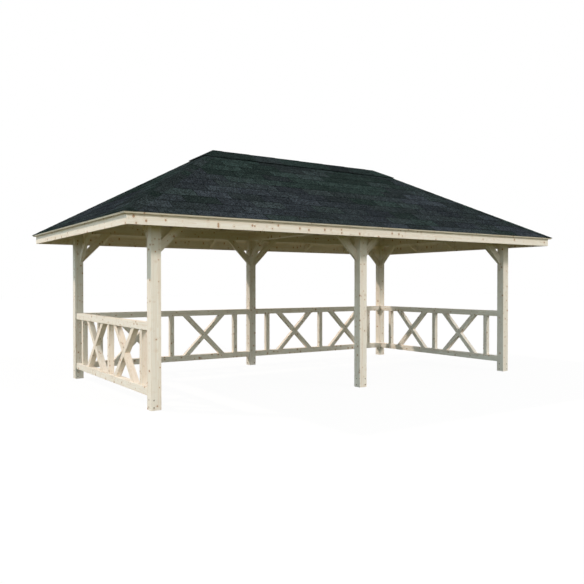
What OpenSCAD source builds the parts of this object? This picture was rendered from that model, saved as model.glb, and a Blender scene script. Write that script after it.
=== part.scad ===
// Open garden gazebo with six posts, a hipped shingle roof and four railings.
// X runs along the long side, the open front faces -Y, Z = 0 is the ground.

/* [Plan] */
// Distance between neighbouring post centres along the long side
bay_length = 3000; // [2200:10:3800]
// Distance between the front and back post centres
bay_depth = 3000; // [2200:10:3800]
// Side of a square post, and the width of a wall beam
post_size = 120; // [95:1:150]
// Height of the wall beams' undersides above the ground
clear_height = 2175; // [1900:5:2500]
// Height of a wall beam
beam_height = 145; // [100:1:200]

/* [Knee braces] */
// Distance that a brace's lower edge runs along the beam and down the post
brace_reach = 428; // [300:1:600]
// Width of a brace in its own plane
brace_width = 95; // [45:1:120]
// Thickness of a brace across its plane
brace_thickness = 45; // [30:1:90]
// Distance that a brace stands back from the face of the post it is in line with
brace_setback = 2; // [2:1:25]

/* [Railings] */
// Height of the bottom rail's underside above the ground
rail_clearance = 150; // [60:1:250]
// Height of the top rail's upper face above the ground
railing_top = 980; // [800:5:1100]
// Height of a rail
rail_height = 90; // [60:1:110]
// Depth of a rail, across the railing
rail_depth = 90; // [60:1:95]
// Side of a square upright, and the width of a crossed bar
upright_size = 70; // [45:1:90]
// Gap between a post and the nearest upright
upright_gap = 235; // [100:1:300]

/* [Roof frame] */
// Slope of all four roof sides, in degrees
roof_pitch = 30; // [20:1:40]
// Width of a rafter and of the ridge beam
rafter_width = 45; // [35:1:70]
// Depth of a rafter, square to the slope
rafter_depth = 95; // [80:1:120]
// Depth of a hip rafter below the roof boards, measured upright
hip_depth = 130; // [115:1:160]
// Depth of the ridge beam below the roof boards
ridge_depth = 150; // [120:1:200]
// Depth of the notch that seats a rafter on its beam
seat_heel = 24; // [12:1:30]
// Distance between neighbouring rafters
rafter_spacing = 950; // [600:10:1100]

/* [Eaves] */
// Distance from a post's outer face to the fascia's outer face
eaves_reach = 432; // [250:1:600]
// Thickness of a fascia board
fascia_thickness = 20; // [16:1:30]
// Distance that the fascia hangs below the rafter tails
fascia_drop = 30; // [0:1:60]
// Distance that the roof boards stand out past the fascia
board_overhang = 43; // [10:1:80]

/* [Roof covering] */
// Thickness of the roof boards
board_thickness = 20; // [16:1:30]
// Thickness of the laid shingles, where they overlap
shingle_thickness = 5; // [4:1:15]
// Distance that the shingles stand out past the roof boards
shingle_overhang = 8; // [0:1:25]
// Thickness of the cap strip along the ridge
cap_thickness = 8; // [3:1:12]
// Thickness of the cap strip along its lower edges, where it stands off the slopes
cap_edge = 16; // [4:1:25]
// Plan distance that the cap reaches from the ridge on every slope
cap_reach = 260; // [100:5:400]

/* [Hidden] */

wood = [0.87, 0.80, 0.68];
board_wood = [0.80, 0.72, 0.58];
bitumen = [0.17, 0.20, 0.21];
cap_bitumen = [0.16, 0.22, 0.20];

// Post centres and the faces of the frame
post_x = bay_length;
post_y = bay_depth / 2;
post_half = post_size / 2;
beam_top = clear_height + beam_height;
brace_slant = brace_width * sqrt(2);
brace_shift = post_half - brace_thickness / 2 - brace_setback;
upright_slant = upright_size * sqrt(2);

// Every slope is measured by its run: the plan distance out from the ridge.
// The ridge ends where the two hips of an end meet at 45 degrees in plan.
ridge_half = post_x - post_y;
beam_run = post_y + post_half;
fascia_run = beam_run + eaves_reach;
tail_run = fascia_run - fascia_thickness;
board_run = fascia_run + board_overhang;
shingle_run = board_run + shingle_overhang;

// Upright sizes of pieces that are measured square to the slope
rafter_rise = rafter_depth / cos(roof_pitch);
board_rise = board_thickness / cos(roof_pitch);
shingle_rise = shingle_thickness / cos(roof_pitch);
cap_rise = cap_thickness / cos(roof_pitch);
cap_edge_rise = cap_edge / cos(roof_pitch);
boards_top = board_rise;
shingles_top = boards_top + shingle_rise;
cap_top = shingles_top + cap_rise;
cap_edge_top = shingles_top + cap_edge_rise;

// Height of the boards' underside at the ridge, set by the rafters' seats
peak = beam_top - seat_heel + rafter_rise + beam_run * tan(roof_pitch);
seat_run = beam_run - seat_heel / tan(roof_pitch);
fascia_bottom = underside(tail_run) - rafter_rise - fascia_drop;

// The hips' half width along a slope's edge, which the rafters stop against
hip_gap = rafter_width / sqrt(2);
// Rafters stand at the ridge's ends and at even steps from there, inward to the
// middle and outward as far as the beam still carries them
steps_in = floor(ridge_half / rafter_spacing);
steps_out = floor((post_y - post_half) / rafter_spacing);
// Longer than any piece, for cutting tools
beyond = 2 * (post_x + board_run);

// Height of the boards' underside at a given run
function underside(run) = peak - run * tan(roof_pitch);

// Draws children, made for the front slope about its own middle, on each side
module front_side() children();
module back_side() rotate([0, 0, 180]) children();
module left_side() translate([-ridge_half, 0, 0]) rotate([0, 0, -90]) children();
module right_side() translate([ridge_half, 0, 0]) rotate([0, 0, 90]) children();

// An outline drawn across the depth and height, run along X
module along_x(length) {
    rotate([90, 0, 90]) linear_extrude(length, center = true) children();
}

// Prism over a slope's plan, from one run to another, with 45 degree hips
module slope_plan(half_ridge, near, far) {
    linear_extrude(beyond)
        polygon([
            [-half_ridge - near, -near], [-half_ridge - far, -far],
            [half_ridge + far, -far], [half_ridge + near, -near]
        ]);
}

// Layer lying on the front slope between two heights above the boards' underside
module slope_layer(half_ridge, far, low, high) {
    intersection() {
        along_x(beyond)
            polygon([
                [0, peak + low], [-far, underside(far) + low],
                [-far, underside(far) + high], [0, peak + high]
            ]);
        slope_plan(half_ridge, 0, far);
    }
}

// Solid hipped roof out to a run, lifted above the boards' underside by one
// height along the ridge and by another along its edges
module hipped_block(reach, ridge_lift, edge_lift) {
    intersection() {
        along_x(beyond)
            polygon([
                [-reach, 0], [reach, 0],
                [reach, underside(reach) + edge_lift],
                [0, peak + ridge_lift],
                [-reach, underside(reach) + edge_lift]
            ]);
        rotate([0, 0, 90])
            along_x(beyond)
                polygon([
                    [-ridge_half - reach, 0], [ridge_half + reach, 0],
                    [ridge_half + reach, underside(reach) + edge_lift],
                    [ridge_half, peak + ridge_lift], [-ridge_half, peak + ridge_lift],
                    [-ridge_half - reach, underside(reach) + edge_lift]
                ]);
    }
}

module post(side_x, side_y) {
    color(wood)
        translate([side_x * post_x, side_y * post_y, clear_height / 2])
            cube([post_size, post_size, clear_height], center = true);
}

// Long wall beam over three posts
module long_beam(side_y) {
    color(wood)
        translate([0, side_y * post_y, clear_height + beam_height / 2])
            cube([2 * post_x + post_size, post_size, beam_height], center = true);
}

// Beam that spans between the two long beams
module cross_beam(side_x) {
    color(wood)
        translate([side_x * post_x, 0, clear_height + beam_height / 2])
            cube([post_size, bay_depth - post_size, beam_height], center = true);
}

// 45 degree brace from a post at the origin towards +X
module brace() {
    translate([post_half, 0, 0])
        rotate([90, 0, 0])
            linear_extrude(brace_thickness, center = true)
                polygon([
                    [0, clear_height - brace_reach],
                    [brace_reach, clear_height],
                    [brace_reach - brace_slant, clear_height],
                    [0, clear_height - brace_reach + brace_slant]
                ]);
}

// The braces of one post, one for each direction that a beam leaves it. At a
// corner all stand towards the inside, and a middle post's cross brace to its left.
module braces(side_x, side_y) {
    cross_side = side_x == 0 ? 1 : side_x;
    color(wood)
        translate([side_x * post_x, side_y * post_y, 0]) {
            translate([-cross_side * brace_shift, 0, 0])
                rotate([0, 0, -side_y * 90]) brace();
            translate([0, -side_y * brace_shift, 0]) {
                if (side_x < 1) brace();
                if (side_x > -1) rotate([0, 0, 180]) brace();
            }
        }
}

// Railing that fills one bay of the given clear width, centred on the origin
module railing(clear_width) {
    frame_low = rail_clearance + rail_height;
    frame_high = railing_top - rail_height;
    frame_mid = (frame_low + frame_high) / 2;
    outer_upright = clear_width / 2 - upright_gap - upright_size / 2;
    cross_half = (frame_high - frame_low) / 2;
    color(wood) {
        for (low = [rail_clearance, frame_high])
            translate([-clear_width / 2, -rail_depth / 2, low])
                cube([clear_width, rail_depth, rail_height]);
        for (step = [-1, 0, 1])
            translate([step * outer_upright - upright_size / 2, -upright_size / 2, frame_low])
                cube([upright_size, upright_size, frame_high - frame_low]);
        for (panel = [-1, 1], lean = [-1, 1])
            translate([panel * outer_upright / 2, 0, frame_mid])
                rotate([90, 0, 0])
                    linear_extrude(upright_size, center = true)
                        polygon([
                            [-lean * cross_half - upright_slant / 2, -cross_half],
                            [-lean * cross_half + upright_slant / 2, -cross_half],
                            [lean * cross_half + upright_slant / 2, cross_half],
                            [lean * cross_half - upright_slant / 2, cross_half]
                        ]);
    }
}

module railing_end(side_x) {
    translate([side_x * post_x, 0, 0])
        rotate([0, 0, 90])
            railing(bay_depth - post_size);
}

module railing_back(side_x) {
    translate([side_x * bay_length / 2, post_y, 0])
        railing(bay_length - post_size);
}

// Ridge beam, bevelled to both slopes and notched where the hips meet
module ridge_beam() {
    edge = rafter_width / 2;
    notch = ridge_half - hip_gap;
    color(wood)
        intersection() {
            hipped_block(board_run, 0, 0);
            translate([0, 0, peak - ridge_depth])
                linear_extrude(beyond)
                    polygon([
                        [-notch, 0], [-notch - edge, -edge], [notch + edge, -edge],
                        [notch, 0], [notch + edge, edge], [-notch - edge, edge]
                    ]);
        }
}

// Hip rafter from the ridge's end down to the fascia's corner
module hip_rafter(side_x, side_y) {
    color(wood)
        difference() {
            intersection() {
                hipped_block(board_run, 0, 0);
                translate([side_x * ridge_half, 0, 0])
                    rotate([0, 0, atan2(side_y, side_x)])
                        hip_plank();
                translate([0, side_y * tail_run / 2, 0])
                    linear_extrude(beyond)
                        square([2 * (ridge_half + tail_run), tail_run], center = true);
            }
            translate([0, 0, -beam_height]) {
                long_beam(side_y);
                cross_beam(side_x);
            }
            long_beam(side_y);
            cross_beam(side_x);
        }
}

// Sloping plank for a hip rafter, from the ridge's end at the origin along +X
module hip_plank() {
    hip_length = tail_run * sqrt(2);
    low = peak - hip_depth;
    fall = tail_run * tan(roof_pitch);
    rotate([90, 0, 0])
        linear_extrude(rafter_width, center = true)
            polygon([
                [-hip_gap, low + hip_gap * fall / hip_length],
                [hip_length, low - fall],
                [hip_length, peak - fall + hip_depth],
                [-hip_gap, peak + hip_depth]
            ]);
}

// Rafter on the front slope, seated on the beam and cut plumb at the fascia
module rafter() {
    start = rafter_width / 2;
    along_x(rafter_width)
        polygon([
            [-start, underside(start) - rafter_rise],
            [-seat_run, beam_top],
            [-beam_run, beam_top],
            [-beam_run, beam_top - seat_heel],
            [-tail_run, underside(tail_run) - rafter_rise],
            [-tail_run, underside(tail_run)],
            [-start, underside(start)]
        ]);
}

// Rafters at the given places along a slope, stopped against its hip rafters
module rafters(half_ridge, places) {
    color(wood)
        intersection() {
            for (place = places)
                translate([place, 0, 0])
                    rafter();
            slope_plan(half_ridge - hip_gap, max(0, hip_gap - half_ridge), tail_run);
        }
}

module long_rafters() {
    rafters(
        ridge_half,
        [for (side = [-1, 1], step = [-steps_in:steps_out])
            side * (ridge_half + step * rafter_spacing)]
    );
}

module end_rafters() {
    rafters(0, [for (step = [-steps_out:steps_out]) step * rafter_spacing]);
}

// Fascia board with mitred ends and its top bevelled to the roof boards
module fascia(half_ridge) {
    color(wood)
        intersection() {
            along_x(beyond)
                polygon([
                    [-tail_run, fascia_bottom], [-fascia_run, fascia_bottom],
                    [-fascia_run, underside(fascia_run)], [-tail_run, underside(tail_run)]
                ]);
            slope_plan(half_ridge, tail_run, fascia_run);
        }
}

module boards(half_ridge) {
    color(board_wood) slope_layer(half_ridge, board_run, 0, boards_top);
}

module shingles(half_ridge) {
    color(bitumen) slope_layer(half_ridge, shingle_run, boards_top, shingles_top);
}

module ridge_cap() {
    color(cap_bitumen)
        difference() {
            hipped_block(cap_reach, cap_top, cap_edge_top);
            hipped_block(board_run, shingles_top, shingles_top);
        }
}

post(-1, -1);  // post_front_left
post(0, -1);  // post_front_middle
post(1, -1);  // post_front_right
post(-1, 1);  // post_back_left
post(0, 1);  // post_back_middle
post(1, 1);  // post_back_right
long_beam(-1);  // beam_front
long_beam(1);  // beam_back
cross_beam(-1);  // beam_left
cross_beam(1);  // beam_right
cross_beam(0);  // beam_middle
braces(-1, -1);  // braces_front_left
braces(0, -1);  // braces_front_middle
braces(1, -1);  // braces_front_right
braces(-1, 1);  // braces_back_left
braces(0, 1);  // braces_back_middle
braces(1, 1);  // braces_back_right
railing_end(-1);  // railing_left
railing_end(1);  // railing_right
railing_back(-1);  // railing_back_left
railing_back(1);  // railing_back_right
ridge_beam();
hip_rafter(-1, -1);  // hip_rafter_front_left
hip_rafter(1, -1);  // hip_rafter_front_right
hip_rafter(-1, 1);  // hip_rafter_back_left
hip_rafter(1, 1);  // hip_rafter_back_right
front_side() long_rafters();  // rafters_front
back_side() long_rafters();  // rafters_back
left_side() end_rafters();  // rafters_left
right_side() end_rafters();  // rafters_right
front_side() fascia(ridge_half);  // fascia_front
back_side() fascia(ridge_half);  // fascia_back
left_side() fascia(0);  // fascia_left
right_side() fascia(0);  // fascia_right
front_side() boards(ridge_half);  // boards_front
back_side() boards(ridge_half);  // boards_back
left_side() boards(0);  // boards_left
right_side() boards(0);  // boards_right
front_side() shingles(ridge_half);  // shingles_front
back_side() shingles(ridge_half);  // shingles_back
left_side() shingles(0);  // shingles_left
right_side() shingles(0);  // shingles_right
ridge_cap();
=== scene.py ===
"""Looks of the open garden gazebo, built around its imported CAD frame.

Lengths are metres. The frame's X runs along the long side, the open front faces
-Y and Z is up. Every timber stores its own grain direction on its points, so that
rings, streaks and knots run along it as they would in sawn spruce.
"""

import math
import random

import bmesh
import bpy
from mathutils import Matrix, Vector, noise


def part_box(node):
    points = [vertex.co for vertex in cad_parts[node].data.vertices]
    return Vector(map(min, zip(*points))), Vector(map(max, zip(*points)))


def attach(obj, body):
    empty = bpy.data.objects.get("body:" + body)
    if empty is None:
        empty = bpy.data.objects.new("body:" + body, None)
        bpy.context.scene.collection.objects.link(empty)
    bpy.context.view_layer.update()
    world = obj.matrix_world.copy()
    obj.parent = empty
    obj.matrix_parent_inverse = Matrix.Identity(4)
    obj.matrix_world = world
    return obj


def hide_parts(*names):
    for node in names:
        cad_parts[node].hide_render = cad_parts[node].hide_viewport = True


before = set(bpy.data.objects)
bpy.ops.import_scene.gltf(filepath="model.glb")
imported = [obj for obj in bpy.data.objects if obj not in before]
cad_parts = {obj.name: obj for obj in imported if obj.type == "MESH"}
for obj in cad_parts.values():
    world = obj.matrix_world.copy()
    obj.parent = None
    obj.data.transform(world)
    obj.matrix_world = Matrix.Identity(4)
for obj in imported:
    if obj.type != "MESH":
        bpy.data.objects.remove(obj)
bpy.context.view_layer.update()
rng = random.Random(20)

# --- Sizes of the roof ----------------------------------------------------------

# As in the CAD source
PITCH = math.radians(30)
BOARD_THICK = 0.020
SHINGLE_THICK = 0.005
CAP_THICK = 0.008
CAP_EDGE_THICK = 0.016
RIDGE_HALF = 1.5
LAYERS = BOARD_THICK + SHINGLE_THICK

# How far each layer reaches from the ridge on plan, from the nodes' boxes
BOARD_RUN = -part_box("boards_front")[0].y
SHINGLE_RUN = -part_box("shingles_front")[0].y
CAP_RUN = -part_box("ridge_cap")[0].y

# The boards' underside: its height at the ridge, its length and the way out of it
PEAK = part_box("boards_front")[1].z - BOARD_THICK / math.cos(PITCH)
SLOPE_LENGTH = BOARD_RUN / math.cos(PITCH)
SLOPE_OUT = Vector((0, -math.sin(PITCH), math.cos(PITCH)))

# Layers are made this much too long and trimmed by the slope's planes
OVERRUN = 0.05

# Each slope is built as the front one and turned into place, with half its ridge
SIDES = {
    "front": (Matrix.Identity(4), RIDGE_HALF),
    "back": (Matrix.Rotation(math.pi, 4, "Z"), RIDGE_HALF),
    "left": (
        Matrix.Translation((-RIDGE_HALF, 0, 0)) @ Matrix.Rotation(-math.pi / 2, 4, "Z"),
        0.0,
    ),
    "right": (
        Matrix.Translation((RIDGE_HALF, 0, 0)) @ Matrix.Rotation(math.pi / 2, 4, "Z"),
        0.0,
    ),
}


def axes(origin, x_axis, z_axis):
    """Matrix of a right-handed frame at origin, with X along x_axis."""
    x = x_axis.normalized()
    y = z_axis.cross(x).normalized()
    z = x.cross(y)
    turn = Matrix((x, y, z)).transposed().to_4x4()
    return Matrix.Translation(origin) @ turn


# X along the eaves, Y up the slope from the boards' edge, Z out of the boards' underside
SLOPE = axes(
    Vector((0, -BOARD_RUN, PEAK - BOARD_RUN * math.tan(PITCH))), Vector((1, 0, 0)), SLOPE_OUT
)


# --- Mesh helpers -------------------------------------------------------------

TRIM_TOLERANCE = 1e-7
# Edges that turn more than this are rounded
SHARP = math.radians(12)


def prism(outline, low, high, axis="x"):
    """Solid with an outline across the axis, given by the other two in their order."""
    bm = bmesh.new()
    order = {"x": (2, 0, 1), "z": (0, 1, 2)}[axis]
    rings = []
    for level in (low, high):
        ring = []
        for u, v in outline:
            values = (u, v, level)
            ring.append(bm.verts.new([values[i] for i in order]))
        rings.append(ring)
    count = len(outline)
    bm.faces.new(rings[0][::-1])
    bm.faces.new(rings[1])
    for i in range(count):
        j = (i + 1) % count
        bm.faces.new((rings[0][i], rings[0][j], rings[1][j], rings[1][i]))
    bmesh.ops.recalc_face_normals(bm, faces=bm.faces)
    return bm


def block(x0, x1, y0, y1, z0, z1):
    """Box between the given planes."""
    return prism(((y0, z0), (y1, z0), (y1, z1), (y0, z1)), x0, x1)


def trim(bm, point, outward):
    """Cuts away what lies on the plane's outward side and closes the cut."""
    found = bmesh.ops.bisect_plane(
        bm,
        geom=bm.verts[:] + bm.edges[:] + bm.faces[:],
        dist=TRIM_TOLERANCE,
        plane_co=point,
        plane_no=outward,
        clear_outer=True,
    )
    rim = [e for e in found["geom_cut"] if isinstance(e, bmesh.types.BMEdge)]
    if rim:
        bmesh.ops.edgenet_fill(bm, edges=rim)
        bmesh.ops.recalc_face_normals(bm, faces=bm.faces)


def soften(bm, width, segments=1):
    """Rounds the sharp edges."""
    sharp = [e for e in bm.edges if len(e.link_faces) == 2 and e.calc_face_angle() > SHARP]
    bmesh.ops.bevel(
        bm,
        geom=sharp,
        offset=width,
        segments=segments,
        profile=0.5,
        affect="EDGES",
        clamp_overlap=True,
    )


def islands(bm):
    """The separate solids in a mesh, each as a mesh of its own."""
    left = set(bm.faces)
    found = []
    while left:
        seed = left.pop()
        group, queue = {seed}, [seed]
        while queue:
            for edge in queue.pop().edges:
                for face in edge.link_faces:
                    if face in left:
                        left.remove(face)
                        group.add(face)
                        queue.append(face)
        solid = bmesh.new()
        copies = {}
        for face in sorted(group, key=lambda f: f.index):
            ring = []
            for vert in face.verts:
                if vert not in copies:
                    copies[vert] = solid.verts.new(vert.co)
                ring.append(copies[vert])
            solid.faces.new(ring)
        found.append((min(f.index for f in group), solid))
    return [solid for _, solid in sorted(found, key=lambda pair: pair[0])]


class Piece:
    """One object of the visual model, made of any number of solids.

    The grain attribute is a point's place in its own timber: along it, across it
    and through it from the pith. The tone attribute is three numbers a solid, the
    third a seed, and each material says what it takes the first two for.
    """

    def __init__(self, name, slot, material):
        self.name, self.slot, self.material = name, slot, material
        self.bm = bmesh.new()
        self.grain = self.bm.verts.layers.float_vector.new("grain")
        self.tone = self.bm.verts.layers.float_vector.new("tone")

    def add(self, solid, place, cuts=(), edge=0.003, segments=1, pith=(0, 0), tone=None):
        """Trims and rounds the solid, puts it in place and stores its grain and tone."""
        back = place.inverted()
        for point, outward in cuts:
            trim(solid, back @ point, back.to_3x3() @ outward)
            if not solid.faces:
                return
        if edge:
            soften(solid, edge, segments)
        shift = Vector((rng.uniform(0, 40), -pith[0], -pith[1]))
        tone = tone or (rng.random(), rng.random(), rng.random())
        copies = {}
        for vert in solid.verts:
            copy = self.bm.verts.new(place @ vert.co)
            copy[self.grain] = vert.co + shift
            copy[self.tone] = tone
            copies[vert] = copy
        for face in solid.faces:
            self.bm.faces.new([copies[v] for v in face.verts])
        solid.free()

    def finish(self, *nodes):
        """Makes the object, which rides on the root and replaces the CAD nodes."""
        bmesh.ops.recalc_face_normals(self.bm, faces=self.bm.faces)
        mesh = bpy.data.meshes.new(self.name)
        self.bm.to_mesh(mesh)
        self.bm.free()
        obj = bpy.data.objects.new(self.name, mesh)
        bpy.context.scene.collection.objects.link(obj)
        mesh.materials.append(self.material)
        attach(obj, "root")
        if nodes:
            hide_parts(*nodes)
        return obj


# --- Materials ----------------------------------------------------------------


class Graph:
    """Short ways to write the nodes of a material or the world."""

    def __init__(self, owner):
        self.owner = owner
        owner.use_nodes = True
        self.tree = owner.node_tree
        self.tree.nodes.clear()

    def node(self, kind, inputs=None, **settings):
        """A node with its inputs linked to sockets or set to constants."""
        made = self.tree.nodes.new("ShaderNode" + kind)
        for key, setting in settings.items():
            setattr(made, key, setting)
        for key, entry in (inputs or {}).items():
            socket = made.inputs[key]
            if isinstance(entry, bpy.types.NodeSocket):
                self.tree.links.new(entry, socket)
            else:
                socket.default_value = entry
        return made

    def attribute(self, name):
        return self.node("Attribute", attribute_name=name).outputs["Vector"]

    def split(self, vector):
        return self.node("SeparateXYZ", {0: vector}).outputs

    def join(self, x, y, z):
        return self.node("CombineXYZ", {0: x, 1: y, 2: z}).outputs[0]

    def math(self, operation, *values):
        inputs = dict(enumerate(values))
        return self.node("Math", inputs, operation=operation).outputs[0]

    def span(self, value, low, high, to_low=0.0, to_high=1.0, smooth=False):
        """Maps low to high onto to_low to to_high, and holds the ends."""
        kind = "SMOOTHSTEP" if smooth else "LINEAR"
        inputs = {0: value, 1: low, 2: high, 3: to_low, 4: to_high}
        return self.node("MapRange", inputs, interpolation_type=kind).outputs[0]

    def noise(self, vector, scale=1.0, detail=2.0, roughness=0.5):
        inputs = {"Vector": vector, "Scale": scale, "Detail": detail, "Roughness": roughness}
        return self.node("TexNoise", inputs).outputs["Fac"]

    def cells(self, vector, scale=1.0):
        made = self.node("TexVoronoi", {"Vector": vector, "Scale": scale})
        return made.outputs["Distance"], made.outputs["Color"]

    def blend(self, factor, first, second, how="MIX"):
        """Mix of two colours, which are the node's sockets 6 and 7."""
        made = self.node("Mix", {0: factor, 6: first, 7: second}, data_type="RGBA", blend_type=how)
        return made.outputs[2]

    def surface(self, colour, roughness, height, depth, specular, matte=0.0):
        """Finishes the material, with bumps of the given depth."""
        normal = self.node("Bump", {"Strength": 1.0, "Distance": depth, "Height": height})
        shader = self.node(
            "BsdfPrincipled",
            {"Base Color": colour, "Roughness": roughness, "Normal": normal.outputs[0]},
        )
        shader.inputs["Specular IOR Level"].default_value = specular
        shader.inputs["Diffuse Roughness"].default_value = matte
        self.node("OutputMaterial", {"Surface": shader.outputs[0]})
        return self.owner


LIGHT_WOOD = (0.86, 0.82, 0.755, 1)
DARK_WOOD = (0.70, 0.56, 0.41, 1)
LIGHT_LINING = (0.84, 0.80, 0.71, 1)
DARK_LINING = (0.68, 0.53, 0.37, 1)
STREAK_WOOD = (0.66, 0.50, 0.36, 1)
PATCH_WOOD = (0.86, 0.78, 0.66, 1)
WARM_WOOD = (0.80, 0.66, 0.50, 1)
# Painted warm sunlight, multiplied into the wood for tones above 1
PAINTED_SUN_PINK = (1.05, 0.985, 0.95, 1)
SWELL_WOOD = (0.60, 0.40, 0.23, 1)
SMALL_KNOT = (0.60, 0.33, 0.17, 1)
LARGE_KNOT = (0.42, 0.22, 0.11, 1)
BARK = (0.20, 0.10, 0.05, 1)
SLIT = (0.22, 0.15, 0.09, 1)

# Per metre
KNOT_CELLS = 17.0
RINGS = 230.0
# Radius of the cylinder around the pith that holds the knots, in cells
KNOT_CYLINDER = 1.15
# How far apart the timbers' places in the noise are spread
SEED_STEP = 60.0
# Depth of the bumps
GRAIN_DEPTH = 0.0006


def spruce(name, light, dark, knot_share):
    """Planed spruce: growth rings about the pith, streaks, fibres and round knots.

    The first tone number is how light the wood is. The second is how warm, up to 1,
    and above 1 how much painted warm sunlight pinks it. The share is that of the
    cells that hold a knot.
    """
    g = Graph(bpy.data.materials.new(name))
    along, across, through = g.split(g.attribute("grain"))
    light_tone, warmth_and_painted_sun, seed = g.split(g.attribute("tone"))
    seed = g.math("MULTIPLY", seed, SEED_STEP)

    def stretched(lengthwise, sideways):
        """The place scaled along and across the grain, moved on by the timber's seed."""
        return g.join(
            g.math("MULTIPLY_ADD", along, lengthwise, seed),
            g.math("MULTIPLY", across, sideways),
            g.math("MULTIPLY", through, sideways),
        )

    # The pith wanders, so that flat faces show long arches
    drift = g.math("MULTIPLY_ADD", g.noise(stretched(0.9, 2.0), 1.0, 1.0), 0.05, -0.025)
    across_w = g.math("ADD", across, drift)
    through_w = g.math("SUBTRACT", through, drift)
    squares = g.math("MULTIPLY_ADD", through_w, through_w, 1e-6)
    radius = g.math("SQRT", g.math("ADD", g.math("MULTIPLY", across_w, across_w), squares))
    # Knots run out from the pith, so they are cells on a cylinder around it
    around = g.join(
        g.math("MULTIPLY_ADD", along, KNOT_CELLS, seed),
        g.math("MULTIPLY", g.math("DIVIDE", across_w, radius), KNOT_CYLINDER),
        g.math("MULTIPLY", g.math("DIVIDE", through_w, radius), KNOT_CYLINDER),
    )
    # Small knots are commoner, and each has a dark rim and a swell in the wood around it
    far, cell = g.cells(around)
    chosen = g.math("LESS_THAN", g.split(cell)[0], knot_share)
    rank = g.math("POWER", g.split(cell)[1], 2.0)
    inside = g.math("DIVIDE", far, g.span(rank, 0.0, 1.0, 0.10, 0.24))
    knot = g.math("MULTIPLY", g.span(inside, 0.72, 1.1, 1.0, 0.0, True), chosen)
    rim = g.math("MULTIPLY", g.span(inside, 0.62, 0.85, 0.0, 1.0, True),
                 g.span(inside, 0.9, 1.15, 1.0, 0.0, True))
    rim = g.math("MULTIPLY", rim, chosen)
    swell = g.math("MULTIPLY", g.span(inside, 0.8, 3.4, 1.0, 0.0, True), chosen)
    # Growth rings, which bend around the knots
    wave = g.math("MULTIPLY_ADD", g.noise(stretched(1.6, 12.0), 1.0, 2.0), 1.6,
                  g.math("MULTIPLY", swell, 1.7))
    rings = g.math("FRACT", g.math("MULTIPLY_ADD", radius, RINGS, wave))
    late = g.math("POWER", rings, 3.0)
    # Fibres, streaks and pale patches along the timber
    fibre = g.noise(stretched(7.0, 420.0), 1.0, 2.0, 0.6)
    streak = g.noise(stretched(0.8, 34.0), 1.0, 3.0, 0.6)
    patch = g.noise(stretched(1.7, 6.0), 1.0, 2.0)
    # Drying checks: thin dark slits that come and go
    slit = g.noise(stretched(1.1, 22.0), 1.0, 1.0)
    slit = g.math("ABSOLUTE", g.math("SUBTRACT", slit, 0.5))
    slit = g.math("MULTIPLY", g.span(slit, 0.0, 0.006, 1.0, 0.0, True),
                  g.span(patch, 0.60, 0.68, 0.0, 1.0, True))
    colour = g.blend(g.math("MULTIPLY", late, 0.42), light, dark)
    colour = g.blend(g.span(streak, 0.50, 0.72, 0.0, 0.40), colour, STREAK_WOOD)
    colour = g.blend(g.span(patch, 0.45, 0.75, 0.0, 0.30), colour, PATCH_WOOD)
    colour = g.blend(g.span(warmth_and_painted_sun, 0.0, 1.0, 0.0, 0.16), colour, WARM_WOOD)
    # Painted light: tones above 1 multiply in a pink that stands in for warm sunlight
    colour = g.blend(g.span(warmth_and_painted_sun, 1.0, 2.0), colour, PAINTED_SUN_PINK, "MULTIPLY")
    level = g.math("MULTIPLY", g.span(light_tone, 0.0, 1.0, 0.94, 1.04),
                   g.span(fibre, 0.25, 0.75, 0.955, 1.03))
    colour = g.blend(1.0, colour, g.join(level, level, level), "MULTIPLY")
    colour = g.blend(g.math("MULTIPLY", swell, 0.22), colour, SWELL_WOOD)
    heart = g.blend(rank, SMALL_KNOT, LARGE_KNOT)
    colour = g.blend(g.math("MULTIPLY", knot, 0.84), colour, heart)
    colour = g.blend(g.math("MULTIPLY", rim, 0.34), colour, BARK)
    colour = g.blend(g.math("MULTIPLY", slit, 0.75), colour, SLIT)
    height = g.math("MULTIPLY_ADD", fibre, 0.5, g.math("MULTIPLY", late, 0.5))
    height = g.math("SUBTRACT", height, g.math("MULTIPLY", slit, 2.0))
    height = g.math("MULTIPLY_ADD", knot, 0.4, height)
    roughness = g.span(fibre, 0.2, 0.8, 0.62, 0.74)
    return g.surface(colour, roughness, height, GRAIN_DEPTH, 0.12)


# How much of a shingle shows up the slope
EXPOSURE = 0.200
BLUE_GREY = (0.028, 0.034, 0.041, 1)
PLAIN_GREY = (0.026, 0.034, 0.036, 1)
GREEN_GREY = (0.021, 0.033, 0.031, 1)
PALE_STONE = (0.11, 0.12, 0.12, 1)
# Per metre
GRANULES = 330.0
CLUSTERS = 60.0
BROAD_PATCHES = 7.0
# Depth of the bumps
GRANULE_DEPTH = 0.0016
# Where the painted shade under the next course starts and is full, short of that course, and what
# light it leaves
SHADE_BAND_START = 0.016
SHADE_BAND_FULL = 0.004
SHADE_BAND_LIGHT = 0.35


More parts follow.
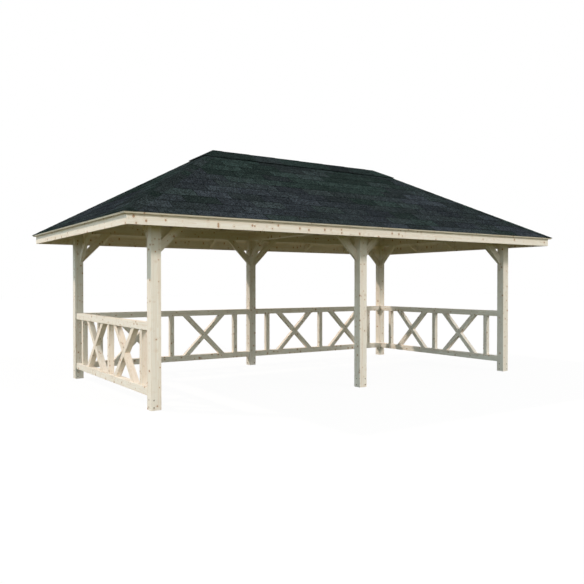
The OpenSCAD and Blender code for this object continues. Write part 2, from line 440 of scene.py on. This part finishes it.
def bitumen(name, tints, lift, band=None):
    """Shingle felt: mineral granules of mixed greys, in tabs of slightly different tint.

    The first tone number picks between the three tints and the second is how light
    the tab is. The lift is how light the whole felt is. A band is the place up a tab
    where the shade under the next course is painted in as a darker strip.
    """
    g = Graph(bpy.data.materials.new(name))
    place = g.attribute("grain")
    tint_tone, light_tone, _ = g.split(g.attribute("tone"))
    far, cell = g.cells(place, GRANULES)
    grain_light = g.split(cell)[0]
    broad = g.noise(place, BROAD_PATCHES, 3.0)
    cluster = g.noise(place, CLUSTERS, 2.0, 0.7)
    colour = g.blend(g.span(tint_tone, 0.25, 0.50, 0.0, 1.0), tints[0], tints[1])
    colour = g.blend(g.span(tint_tone, 0.55, 0.80, 0.0, 1.0), colour, tints[2])
    level = g.math("MULTIPLY", g.span(light_tone, 0.0, 1.0, 0.68, 1.30),
                   g.span(grain_light, 0.0, 1.0, 0.45, 1.55))
    level = g.math("MULTIPLY", level, g.span(cluster, 0.38, 0.62, 0.32, 1.68))
    level = g.math("MULTIPLY", level, g.span(broad, 0.3, 0.7, 0.84, 1.16))
    level = g.math("MULTIPLY", level, lift)
    # Painted shade: the felt darkens just short of the next course's butt, where its shadow falls
    if band:
        start, full = band - SHADE_BAND_START, band - SHADE_BAND_FULL
        painted_shade = g.span(g.split(place)[1], start, full, 1.0, SHADE_BAND_LIGHT)
        level = g.math("MULTIPLY", level, painted_shade)
    colour = g.blend(1.0, colour, g.join(level, level, level), "MULTIPLY")
    # A few granules are of paler stone
    stone = g.math("MULTIPLY", g.math("GREATER_THAN", g.split(cell)[1], 0.94), 0.4)
    colour = g.blend(stone, colour, PALE_STONE)
    height = g.math("MULTIPLY_ADD", far, -1.0, g.math("MULTIPLY", grain_light, 0.6))
    roughness = g.span(grain_light, 0.0, 1.0, 0.86, 0.98)
    return g.surface(colour, roughness, height, GRANULE_DEPTH, 0.0, 1.0)


STEEL = (0.055, 0.035, 0.022, 1)
STAIN = (0.15, 0.07, 0.03, 1)
# Per metre
STAIN_SPOTS = 300.0
# Depth of the bumps
STAIN_DEPTH = 0.0002


def burnished(name):
    """Plated screw steel, dulled and stained unevenly."""
    g = Graph(bpy.data.materials.new(name))
    worn = g.noise(g.attribute("grain"), STAIN_SPOTS, 3.0, 0.6)
    tint = g.blend(g.span(worn, 0.35, 0.65), STEEL, STAIN)
    return g.surface(tint, g.span(worn, 0.2, 0.8, 0.5, 0.75), worn, STAIN_DEPTH, 0.3)


steel = burnished("screw_steel")
timber = spruce("spruce_timber", LIGHT_WOOD, DARK_WOOD, knot_share=0.74)
lining = spruce("spruce_boards", LIGHT_LINING, DARK_LINING, knot_share=0.42)
greys = (BLUE_GREY, PLAIN_GREY, GREEN_GREY)
felt = bitumen("bitumen_shingles", greys, lift=1.06, band=EXPOSURE)
# The underlay is a real layer, but painted nearly black as the shade in the slots between tabs
underlay_painted_dark = bitumen("bitumen_underlay_painted_shade", greys, lift=0.12)
cap_felt = bitumen("bitumen_cap", (PLAIN_GREY, PLAIN_GREY, GREEN_GREY), lift=0.92)


# --- Timbers carried over from the CAD, with worn edges and their own grain ----

# Points of a CAD mesh closer than this are one, and faces that turn less are flat
SAME_POINT = 2e-5
SAME_FACE = math.radians(0.5)
# A timber's grain runs with this direction rather than against it
FORWARD = Vector((1, 1.1, 1.2))
# Timbers thicker than this are sawn around the pith, the others beside it
BOXED_HEART = 0.06
# How far from a timber's middle the pith is: within it, beside it and otherwise
PITH_WITHIN = 0.025
PITH_BESIDE = (0.03, 0.07)
PITH_SPREAD = 0.03


def near(spread=PITH_SPREAD):
    """A random length up to the spread, either way."""
    return rng.uniform(-spread, spread)


def carried(node, edge=0.003, segments=2):
    """The node's own timbers, each with rounded edges and grain along its length."""
    bm = bmesh.new()
    bm.from_mesh(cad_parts[node].data)
    bmesh.ops.remove_doubles(bm, verts=bm.verts, dist=SAME_POINT)
    bmesh.ops.dissolve_limit(bm, angle_limit=SAME_FACE, verts=bm.verts, edges=bm.edges)
    bm.faces.index_update()
    piece = Piece(node + "_timber", "timber", timber)
    for solid in islands(bm):
        longest = max(solid.edges, key=lambda e: e.calc_length())
        along = longest.verts[1].co - longest.verts[0].co
        if along.dot(FORWARD) < 0:
            along = -along
        upright = abs(along.normalized().z) >= 0.9
        centre = sum((v.co for v in solid.verts), Vector()) / len(solid.verts)
        place = axes(centre, along, Vector((0, 1, 0)) if upright else Vector((0, 0, 1)))
        back = place.inverted()
        for vert in solid.verts:
            vert.co = back @ vert.co
        wide = max(v.co.y for v in solid.verts) - min(v.co.y for v in solid.verts)
        tall = max(v.co.z for v in solid.verts) - min(v.co.z for v in solid.verts)
        if min(wide, tall) > BOXED_HEART:
            pith = (near(PITH_WITHIN), near(PITH_WITHIN))
        elif wide < tall:
            pith = (rng.choice((-1, 1)) * rng.uniform(*PITH_BESIDE), near())
        else:
            pith = (near(), rng.choice((-1, 1)) * rng.uniform(*PITH_BESIDE))
        piece.add(solid, place, edge=edge, segments=segments, pith=pith)
    bm.free()
    piece.finish(node)


for row in ("front", "back"):
    for spot in ("left", "middle", "right"):
        carried(f"post_{row}_{spot}", 0.004)
        carried(f"braces_{row}_{spot}")
    for spot in ("left", "right"):
        carried(f"hip_rafter_{row}_{spot}", 0.002, 1)
for spot in ("front", "back", "left", "right", "middle"):
    carried(f"beam_{spot}", 0.004)
carried("ridge_beam", 0.002, 1)
for spot in SIDES:
    carried(f"rafters_{spot}", 0.002, 1)
    carried(f"fascia_{spot}", 0.0025)


# --- Screws at the posts' feet ---------------------------------------------------

SCREW_HEAD = 0.016
SCREW_PROUD = 0.0007
SCREW_DEPTH = 0.004
DRIVE_HALF = 0.17 * SCREW_HEAD
DRIVE_DEPTH = 0.002
SCREW_LEVELS = (0.033, 0.115)
SCREW_TURNS = [2 * math.pi * i / 16 for i in range(16)]
# Off the posts' middle: on the front and back faces, by post, and on the side faces
SCREW_STEPS = {"left": -0.027, "middle": 0.036, "right": 0.030}
SCREW_SIDE_STEP = -0.012


def screw(piece, place):
    """Countersunk head with a square drive hole, its rim just proud of the wood."""
    bm = bmesh.new()

    def ring(level, reach):
        """Points at a level, each as far out as reach says for its angle."""
        return [
            bm.verts.new((reach(a) * math.cos(a), reach(a) * math.sin(a), level))
            for a in SCREW_TURNS
        ]

    def drive(angle):
        """How far out the square drive hole's wall is."""
        return DRIVE_HALF / max(abs(math.cos(angle)), abs(math.sin(angle)))

    # The rim is slightly domed
    rings = [
        ring(-SCREW_DEPTH, lambda angle: SCREW_HEAD / 2),
        ring(SCREW_PROUD * 0.4, lambda angle: SCREW_HEAD / 2),
        ring(SCREW_PROUD, lambda angle: SCREW_HEAD * 0.44),
        ring(SCREW_PROUD, drive),
        ring(-DRIVE_DEPTH, drive),
    ]
    bm.faces.new(rings[0][::-1])
    bm.faces.new(rings[-1])
    for lower, upper in zip(rings, rings[1:]):
        for i in range(len(SCREW_TURNS)):
            j = (i + 1) % len(SCREW_TURNS)
            bm.faces.new((lower[i], lower[j], upper[j], upper[i]))
    piece.add(bm, place, edge=0)


for row in ("front", "back"):
    for spot, front_step in SCREW_STEPS.items():
        low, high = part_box(f"post_{row}_{spot}")
        centre = (low + high) / 2
        reach = (high.x - low.x) / 2
        piece = Piece(f"screws_{row}_{spot}", "timber", steel)
        for level in SCREW_LEVELS:
            for turn in range(4):
                step = front_step if turn % 2 == 0 else SCREW_SIDE_STEP
                step *= 1 if turn < 2 else -1
                face = Matrix.Rotation(-turn * math.pi / 2, 4, "Z")
                place = Matrix.Translation((centre.x, centre.y, 0)) @ face
                place = place @ Matrix.Translation((step, -reach, level))
                spin = Matrix.Rotation(rng.uniform(0, math.pi), 4, "Z")
                screw(piece, place @ Matrix.Rotation(math.pi / 2, 4, "X") @ spin)
        piece.finish()


# --- Railings: rails, uprights and half-lapped crosses -------------------------

RAIL_DEPTH = 0.090
RAIL_HEIGHT = 0.090
BAR = 0.070
# From the posts to the outer uprights
UPRIGHT_GAP = 0.235


def bar_tone(node):
    """Tone of a railing's thinner bars: those of the left railing get painted warm sunlight."""
    # Painted light: the left railing's bars take tones above 1, a pink for the warm sunlight on
    # them
    pink = (1.3, 2.0) if node == "railing_left" else (0.0, 0.5)
    return rng.uniform(0.4, 0.9), rng.uniform(*pink), rng.random()


def railing(node, turn):
    """Two rails, three uprights and two crosses between two posts."""
    low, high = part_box(node)
    size = high - low
    width = max(size.x, size.y)
    centre = Vector(((low.x + high.x) / 2, (low.y + high.y) / 2, 0))
    plane = Matrix.Translation(centre) @ Matrix.Rotation(turn, 4, "Z")
    inner_low, inner_high = low.z + RAIL_HEIGHT, high.z - RAIL_HEIGHT
    middle = (inner_low + inner_high) / 2
    reach = (inner_high - inner_low) / 2
    outer = width / 2 - UPRIGHT_GAP - BAR / 2
    half = BAR / 2
    piece = Piece(node + "_timber", "timber", timber)
    for bottom in (low.z, inner_high):
        solid = block(-width / 2, width / 2, -RAIL_DEPTH / 2, RAIL_DEPTH / 2,
                      -RAIL_HEIGHT / 2, RAIL_HEIGHT / 2)
        pith = (near(), near())
        place = plane @ Matrix.Translation((0, 0, bottom + RAIL_HEIGHT / 2))
        # The rails are of the lightest wood
        tone = (rng.uniform(0.7, 1.0), rng.uniform(0.0, 0.3), rng.random())
        piece.add(solid, place, segments=2, pith=pith, tone=tone)
    for step in (-1, 0, 1):
        solid = block(-reach, reach, -half, half, -half, half)
        pith = (near(), near())
        place = plane @ Matrix.Translation((step * outer, 0, middle))
        place = place @ Matrix.Rotation(-math.pi / 2, 4, "Y")
        piece.add(solid, place, segments=2, pith=pith, tone=bar_tone(node))
    limits = [
        (plane @ Vector((0, 0, inner_low)), Vector((0, 0, -1))),
        (plane @ Vector((0, 0, inner_high)), Vector((0, 0, 1))),
    ]
    long_half = reach * math.sqrt(2) + BAR
    for panel in (-1, 1):
        for lean in (-1, 1):
            # Half of the thickness is cut away where the two bars cross
            cut = lean * half
            outline = (
                (-long_half, -cut), (long_half, -cut), (long_half, cut),
                (half, cut), (half, 0), (-half, 0), (-half, cut), (-long_half, cut),
            )
            solid = prism(outline, -half, half, "z")
            centre_line = plane @ Matrix.Translation((panel * outer / 2, 0, middle))
            place = centre_line @ Matrix.Rotation(-lean * math.pi / 4, 4, "Y")
            pith = (near(), near())
            tone = bar_tone(node)
            piece.add(solid, place, cuts=limits, edge=0.002, pith=pith, tone=tone)
    piece.finish(node)


for spot in ("left", "right"):
    railing(f"railing_{spot}", math.pi / 2)
    railing(f"railing_back_{spot}", 0.0)


# --- Roof boards ---------------------------------------------------------------

BOARD_COUNT = 25
# The joint's chamfer
V_CUT = 0.004
# Half the gap between two boards
JOINT_GAP = 0.0004
EDGE_LEAN = math.radians(26)
# Where the pith is: below the board or above it
BOARD_PITH = (-0.06, 0.09)
BOARD_PITH_SPREAD = 0.02
# Place of the eaves' plane among those that slope_cuts gives
EAVES = 2


def slope_cuts(side, half_ridge, run):
    """Planes that bound a layer of a slope: its hips, its eaves and the ridge."""
    turn = side.to_3x3()
    planes = [
        (Vector((half_ridge, 0, 0)), Vector((1, 1, 0))),
        (Vector((-half_ridge, 0, 0)), Vector((-1, 1, 0))),
        (Vector((0, -run, 0)), Vector((0, -1, 0))),
        (Vector((0, 0, 0)), Vector((0, 1, 0))),
    ]
    return [(side @ point, turn @ outward.normalized()) for point, outward in planes]


for side_name, (side, half_ridge) in SIDES.items():
    piece = Piece(f"boards_{side_name}_lining", "roof_boards", lining)
    cuts = slope_cuts(side, half_ridge, BOARD_RUN)
    # The lowest board's edge leans in below its upper arris, at the layer's end
    arris = SLOPE @ Vector((0, BOARD_THICK * math.tan(PITCH), BOARD_THICK))
    lean = Vector((0, -math.cos(EDGE_LEAN), -math.sin(EDGE_LEAN)))
    cuts[EAVES] = (side @ arris, side.to_3x3() @ lean)
    cover = SLOPE_LENGTH / BOARD_COUNT
    for row in range(BOARD_COUNT):
        half = cover / 2 - JOINT_GAP
        outline = (
            (-half, V_CUT), (-half + V_CUT, 0), (half - V_CUT, 0), (half, V_CUT),
            (half, BOARD_THICK), (-half, BOARD_THICK),
        )
        if row == 0:
            # The lowest board runs on past the edge that trims it
            outline = ((-2 * half, 0),) + outline[2:5] + ((-2 * half, BOARD_THICK),)
        reach = half_ridge + BOARD_RUN + OVERRUN
        solid = prism(outline, -reach, reach)
        place = side @ SLOPE @ Matrix.Translation((0, (row + 0.5) * cover, 0))
        pith = (near(), rng.choice(BOARD_PITH) + near(BOARD_PITH_SPREAD))
        piece.add(solid, place, cuts=cuts, edge=0, pith=pith)
    piece.finish(f"boards_{side_name}")


# --- Shingles ------------------------------------------------------------------

FIRST_COURSE = 0.165
TAB_PITCH = 0.450
SLOT_WIDTH = 0.009
UNDERLAY = 0.0015
TAB_THICK = 0.0028
# How far a tab reaches under the next course, and how far its faces there lie below
# its foot
TUCK = 0.02
TUCK_TOP = 0.0006
TUCK_FOOT = 0.0016
# How far the felt stands past the boards
DRIP = 0.0015
# How far a tab is laid too low or too high
SLIP = 0.0015
# Tints drift over a slope and differ a little from tab to tab. The steps of the noise
# are those along the slope, up it and from one slope to another.
DRIFT_STEPS = (0.75, 1.1, 3.7)
DRIFT = 0.75
SCATTER = 0.32


def tab(length, span, base, thick):
    """Wedge that lies on the course below, thickest along its lower edge."""
    outline = (
        (0, base), (0, base + thick),
        (span + TUCK, base - TUCK_TOP), (span + TUCK, base - TUCK_FOOT),
    )
    return prism(outline, -length / 2, length / 2)


def shingled(side_name):
    """A slope's underlay and its tabs in staggered courses."""
    side, half_ridge = SIDES[side_name]
    piece = Piece(f"shingles_{side_name}_felt", "shingles", felt)
    cuts = slope_cuts(side, half_ridge, BOARD_RUN + DRIP)
    reach = half_ridge + SHINGLE_RUN + OVERRUN
    under = block(-reach, reach, -OVERRUN, SLOPE_LENGTH, BOARD_THICK, BOARD_THICK + UNDERLAY)
    # Painted shade: the underlay shows through the slots between tabs and is kept nearly black
    underlay = Piece(f"underlay_{side_name}", "shingles", underlay_painted_dark)
    underlay.add(under, side @ SLOPE, cuts=cuts, edge=0, tone=(0.5, 0.0, 0.5))
    underlay.finish()
    count = int(reach / TAB_PITCH) + 2
    course = 0
    start = FIRST_COURSE - EXPOSURE
    while start < SLOPE_LENGTH:
        offset = 0.0 if course % 2 == 0 else TAB_PITCH / 2
        run = (SLOPE_LENGTH - start) * math.cos(PITCH)
        for number in range(-count, count + 1):
            middle = number * TAB_PITCH + offset + TAB_PITCH / 2
            if abs(middle) - TAB_PITCH / 2 > half_ridge + run:
                continue
            slip = 0.0 if course == 0 else near(SLIP)
            solid = tab(TAB_PITCH - SLOT_WIDTH, EXPOSURE, LAYERS - TAB_THICK, TAB_THICK)
            place = side @ SLOPE @ Matrix.Translation((middle, start + slip, 0))
            steps = zip((middle, start, len(side_name)), DRIFT_STEPS)
            spot = Vector([size * step for size, step in steps])
            tint = 0.5 + DRIFT * noise.noise(spot) + near(SCATTER)
            piece.add(solid, place, cuts=cuts, edge=0, tone=(tint, rng.random(), rng.random()))
        course += 1
        start += EXPOSURE
    piece.finish(f"shingles_{side_name}")


for side_name in SIDES:
    shingled(side_name)


# --- Hip caps: folded felt pieces that overlap down each hip ---------------------

HIP_EXPOSURE = 0.172
HIP_WING = 0.105
HIP_THICK = 0.0026
# Every other piece has a slot at this distance from the hip
HIP_SLOT = 0.043
HIP_SLOT_WIDTH = 0.005
# How far a piece runs past the hip's plane, which trims it
HIP_PAST = 0.02
# How far a piece reaches under the next one up, and its faces there and at its foot
HIP_LAP = 0.03
HIP_BED = LAYERS - 0.0004
HIP_FOOT = HIP_BED + 0.0002
HIP_TUCK_TOP = HIP_BED + 0.0006
HIP_TUCK_FOOT = HIP_BED - 0.0012
# The lowest pieces end this much inside the CAD box
BOX_INSET = 0.0002


def hip_caps(side_name, end):
    """The caps' wings along one hip of a slope: a at its left end, b at its right."""
    side, half_ridge = SIDES[side_name]
    piece = Piece(f"hip_caps_{side_name}_{end}", "shingles", cap_felt)
    sign = -1 if end == "a" else 1
    lower = SLOPE.inverted() @ Vector(
        (sign * (half_ridge + SHINGLE_RUN), -SHINGLE_RUN, PEAK - SHINGLE_RUN * math.tan(PITCH))
    )
    upper = SLOPE.inverted() @ Vector((sign * half_ridge, 0, PEAK))
    along = upper - lower
    length = along.length
    along.normalize()
    # Local X runs inward over the slope and local Y up the hip
    inward = Vector((0, 0, 1)).cross(along) * sign
    turn = Matrix((inward, along, inward.cross(along))).transposed().to_4x4()
    cuts = slope_cuts(side, half_ridge, SHINGLE_RUN - BOX_INSET)
    reach = HIP_EXPOSURE + HIP_LAP
    outline = (
        (0, HIP_FOOT), (0, HIP_BED + HIP_THICK), (reach, HIP_TUCK_TOP), (reach, HIP_TUCK_FOOT)
    )
    start, index = -HIP_LAP, 0
    while start < length:
        spans = [(-HIP_PAST, HIP_WING)]
        if index % 2:
            spans = [(-HIP_PAST, HIP_SLOT), (HIP_SLOT + HIP_SLOT_WIDTH, HIP_WING)]
        tone = (rng.random(), rng.random(), rng.random())
        for inner, outer in spans:
            solid = prism(outline, inner, outer)
            spot = lower + along * start
            place = side @ SLOPE @ Matrix.Translation((spot.x, spot.y, 0)) @ turn
            if sign > 0:
                # Local Z points down here
                for vert in solid.verts:
                    vert.co.z = -vert.co.z
                bmesh.ops.reverse_faces(solid, faces=solid.faces)
            piece.add(solid, place, cuts=cuts, edge=0, tone=tone)
        start += HIP_EXPOSURE
        index += 1
    piece.finish()


for side_name in SIDES:
    for end in ("a", "b"):
        hip_caps(side_name, end)


# --- Ridge cap: felt band over the ridge and down its four slopes ----------------

CAP_PIECE = 0.45
CAP_FELT = 0.0035
# How far the packing strip stands back from the felt's lower edge
CAP_RECESS = 0.035
# How far a piece dips under the next one, and reaches beneath it
CAP_LAP = 0.003
CAP_TUCK = 0.03
CAP_LENGTH = CAP_RUN / math.cos(PITCH)


def cap_height(along):
    """Height of the cap's outer face over the boards' underside, up the slope."""
    share = (SLOPE_LENGTH - along) / CAP_LENGTH
    return LAYERS + CAP_THICK + (CAP_EDGE_THICK - CAP_THICK) * share


piece = Piece("ridge_cap_felt", "ridge_cap", cap_felt)
for side_name, (side, half_ridge) in SIDES.items():
    cuts = slope_cuts(side, half_ridge, CAP_RUN)
    lower = SLOPE_LENGTH - CAP_LENGTH - CAP_TUCK
    upper = SLOPE_LENGTH + CAP_TUCK
    inner = SLOPE_LENGTH - CAP_LENGTH + CAP_RECESS
    reach = half_ridge + CAP_RUN + OVERRUN
    # The felt stands proud of a packing strip, which leaves a dark gap under its edge
    outline = (
        (inner, BOARD_THICK), (upper, BOARD_THICK),
        (upper, cap_height(upper) - CAP_FELT - CAP_LAP),
        (inner, cap_height(inner) - CAP_FELT - CAP_LAP),
    )
    piece.add(prism(outline, -reach, reach), side @ SLOPE, cuts=cuts, edge=0)
    outline = (
        (lower, cap_height(lower) - CAP_FELT), (upper, cap_height(upper) - CAP_FELT),
        (upper, cap_height(upper)), (lower, cap_height(lower)),
    )
    if half_ridge == 0:
        piece.add(prism(outline, -reach, reach), side @ SLOPE, cuts=cuts, edge=0)
        continue
    mirror = 1 if side_name == "front" else -1
    count = int(reach / CAP_PIECE) + 1
    for step in range(-count, count + 1):
        solid = prism(outline, -CAP_TUCK, CAP_PIECE)
        for vert in solid.verts:
            # Each piece tucks under the next one along the ridge
            if vert.co.x < 0:
                vert.co.z -= CAP_LAP
            vert.co.x = mirror * (vert.co.x + step * CAP_PIECE)
        bmesh.ops.recalc_face_normals(solid, faces=solid.faces)
        piece.add(solid, side @ SLOPE, cuts=cuts, edge=0)
piece.finish("ridge_cap")


# --- Floor, light and camera -----------------------------------------------------

FLOOR_SIZE = 120.0
WHITE = (1, 1, 1, 1)
FLOOR_PALE = (0.95, 0.95, 0.94, 1)
# What the floor throws back up at the gazebo, as much as the photo's shade shows
FLOOR_BOUNCE = (0.090, 0.090, 0.026, 1)
# Share of the pale, lit floor in what shows of it, so that the shadow stays faint
FLOOR_SHARE = 0.045
SKY_LOW = (0.88, 0.92, 0.90, 1)
SKY_HIGH = (0.38, 0.41, 0.42, 1)
# How high the sky reaches its upper colour
SKY_RISE = 0.6


def shown_white(g):
    """1 for rays that show the background: from the camera, or by gloss or glass."""
    path = g.node("LightPath").outputs
    either = g.math("MAXIMUM", path["Is Camera Ray"], path["Is Glossy Ray"])
    return g.math("MAXIMUM", either, path["Is Transmission Ray"])


floor_mesh = bpy.data.meshes.new("floor")
half = FLOOR_SIZE / 2
floor_mesh.from_pydata(
    [(-half, -half, 0), (half, -half, 0), (half, half, 0), (-half, half, 0)], [], [(0, 1, 2, 3)]
)
floor = bpy.data.objects.new("floor", floor_mesh)
bpy.context.scene.collection.objects.link(floor)
g = Graph(bpy.data.materials.new("floor_pale"))
bounce = g.node("BsdfDiffuse", {"Color": FLOOR_BOUNCE}).outputs[0]
pale = g.node("BsdfDiffuse", {"Color": FLOOR_PALE}).outputs[0]
glow = g.node("Emission", {"Color": WHITE, "Strength": 1.0}).outputs[0]
shown = g.node("MixShader", {0: FLOOR_SHARE, 1: glow, 2: pale}).outputs[0]
mixed = g.node("MixShader", {0: shown_white(g), 1: bounce, 2: shown})
g.node("OutputMaterial", {"Surface": mixed.outputs[0]})
floor_mesh.materials.append(g.owner)

world = bpy.data.worlds.new("studio")
bpy.context.scene.world = world
g = Graph(world)
rise = g.split(g.node("TexCoord").outputs["Generated"])[2]
dome = g.blend(g.span(rise, 0.0, SKY_RISE), SKY_LOW, SKY_HIGH)
soft = g.node("Background", {"Color": dome, "Strength": 1.0}).outputs[0]
white = g.node("Background", {"Color": WHITE, "Strength": 1.0}).outputs[0]
mixed = g.node("MixShader", {0: shown_white(g), 1: soft, 2: white})
g.node("OutputWorld", {"Surface": mixed.outputs[0]})


def sun(name, travel, strength, colour, angle):
    """Sun lamp whose light travels along travel, with its width in degrees."""
    lamp = bpy.data.lights.new(name, "SUN")
    lamp.energy, lamp.color, lamp.angle = strength, colour, math.radians(angle)
    obj = bpy.data.objects.new(name, lamp)
    obj.rotation_euler = Vector(travel).to_track_quat("-Z", "Y").to_euler()
    bpy.context.scene.collection.objects.link(obj)


# The sun from the back left, soft light from the front right, and cool and warm fills
sun("key_light", (0.77, -0.81, -1.0), 2.60, (1.0, 0.85, 0.73), 1.5)
sun("front_light", (-0.69, 1.56, -1.0), 1.43, (1.0, 0.93, 0.88), 9.5)
sun("left_fill", (1.0, 0.35, -0.20), 1.08, (0.65, 0.88, 1.0), 65.0)
sun("front_fill", (0.0, 1.0, -0.22), 0.40, (1.0, 0.97, 0.75), 70.0)

# As fitted to the photo: degrees down from level and to the right of +Y
CAMERA_PLACE = (-5.79489, -8.46957, 1.41030)
CAMERA_DOWN = 0.6617
CAMERA_TURN = 33.7603
CAMERA_LENS = 40.33
CAMERA_REACH = 200

camera_data = bpy.data.cameras.new("camera")
camera_data.lens = CAMERA_LENS
camera_data.clip_end = CAMERA_REACH
camera = bpy.data.objects.new("camera", camera_data)
camera.location = CAMERA_PLACE
camera.rotation_euler = (math.radians(90 - CAMERA_DOWN), 0, math.radians(-CAMERA_TURN))
bpy.context.scene.collection.objects.link(camera)
bpy.context.scene.camera = camera
bpy.context.scene.view_settings.view_transform = "Standard"
